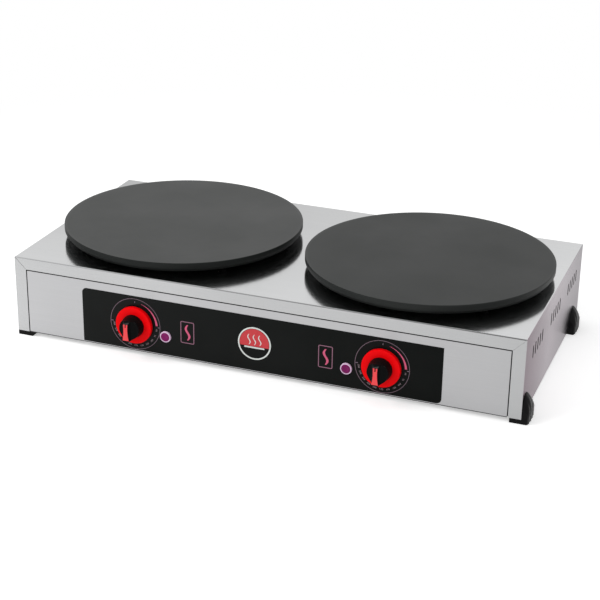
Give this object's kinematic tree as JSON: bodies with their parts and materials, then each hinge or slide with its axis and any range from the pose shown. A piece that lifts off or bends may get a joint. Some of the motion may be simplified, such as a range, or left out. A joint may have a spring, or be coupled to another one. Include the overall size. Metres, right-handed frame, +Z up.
{
  "type": "double electric crepe maker",
  "caption": "Low stainless steel countertop cabinet carrying side by side round cast iron griddle plates, with a black control strip, rotary thermostat knobs and pilot lamps in front.",
  "frame": {"origin": "bottom centre of the whole machine, on the surface it stands on", "axes": "+Z up, the control panel faces -Y, +X to the right of someone facing the panel"},
  "size_m": [0.857, 0.4754, 0.161],
  "materials": {
    "brushed_steel": "fine brushed stainless steel, close to a mirror on the top",
    "galvanised_sheet": "plain zinc coated sheet",
    "label_film": "black printed polycarbonate overlay",
    "foot_plastic": "moulded black plastic",
    "zinc_screws": "zinc plated steel",
    "cast_iron": "machined and seasoned, matt dark grey",
    "black_enamel": "heat resistant black enamel",
    "element_sheath": "heat tinted element sheath",
    "ceramic_wool": "ceramic fibre board",
    "brass_parts": "plain brass",
    "thermostat_case": "pressed metal case",
    "knob_black": "moulded black thermoset",
    "knob_red": "bright red plastic",
    "pointer_red": "coral red inlay",
    "lamp_bezel": "pale pink tinted plastic",
    "lamp_lens": "purple faceted lens",
    "ceramic_white": "unglazed white ceramic",
    "gland_plastic": "black polyamide",
    "wire_red": "silicone insulated wire",
    "wire_blue": "silicone insulated wire"
  },
  "bodies": {
    "cabinet": {"casing": "brushed_steel", "front_panel": "brushed_steel", "control_label": "label_film", "rear_panel": "brushed_steel", "base_plate": "galvanised_sheet", "centre_rib": "galvanised_sheet", "foot_front_left": "foot_plastic", "foot_rear_left": "foot_plastic", "foot_front_right": "foot_plastic", "foot_rear_right": "foot_plastic", "foot_screws": "zinc_screws", "base_screws": "zinc_screws", "rear_panel_screws": "zinc_screws", "griddle_plate_left": "cast_iron", "griddle_plate_right": "cast_iron", "plate_standoffs": "black_enamel", "plate_bolts": "zinc_screws", "heating_element_left": "element_sheath", "heating_element_right": "element_sheath", "element_clamp_left": "zinc_screws", "element_clamp_right": "zinc_screws", "clamp_studs": "zinc_screws", "clamp_nuts": "zinc_screws", "insulation_left": "ceramic_wool", "insulation_right": "ceramic_wool", "heat_shield_left": "black_enamel", "heat_shield_right": "black_enamel", "shield_screws": "zinc_screws", "sensor_left": "brass_parts", "sensor_right": "brass_parts", "thermostat_left": "thermostat_case", "thermostat_right": "thermostat_case", "thermostat_screws": "zinc_screws", "lamp_bezel_left": "lamp_bezel", "lamp_bezel_right": "lamp_bezel", "lamp_lens_left": "lamp_lens", "lamp_lens_right": "lamp_lens", "lamp_holder_left": "ceramic_white", "lamp_holder_right": "ceramic_white", "lamp_nuts": "zinc_screws", "terminal_block": "ceramic_white", "terminal_screws": "brass_parts", "cable_gland": "gland_plastic", "gland_cap": "gland_plastic", "gland_locknut": "gland_plastic", "earth_stud": "brass_parts", "earth_nuts": "brass_parts", "wiring_left": "wire_red", "wiring_right": "wire_blue"},
    "left_knob": {"thermostat_shaft_left": "zinc_screws", "knob_left": "knob_black", "knob_skirt_left": "knob_red", "knob_pointer_left": "pointer_red"},
    "right_knob": {"thermostat_shaft_right": "zinc_screws", "knob_right": "knob_black", "knob_skirt_right": "knob_red", "knob_pointer_right": "pointer_red"}
  },
  "joints": [
    {"name": "left_knob_turn", "type": "hinge", "parent": "cabinet", "child": "left_knob", "pos_m": [-0.2138, -0.2013, 0.0547], "axis": [0, 1, 0], "range_deg": [0, 270]},
    {"name": "right_knob_turn", "type": "hinge", "parent": "cabinet", "child": "right_knob", "pos_m": [0.1992, -0.2013, 0.0547], "axis": [0, 1, 0], "range_deg": [0, 270]}
  ]
}
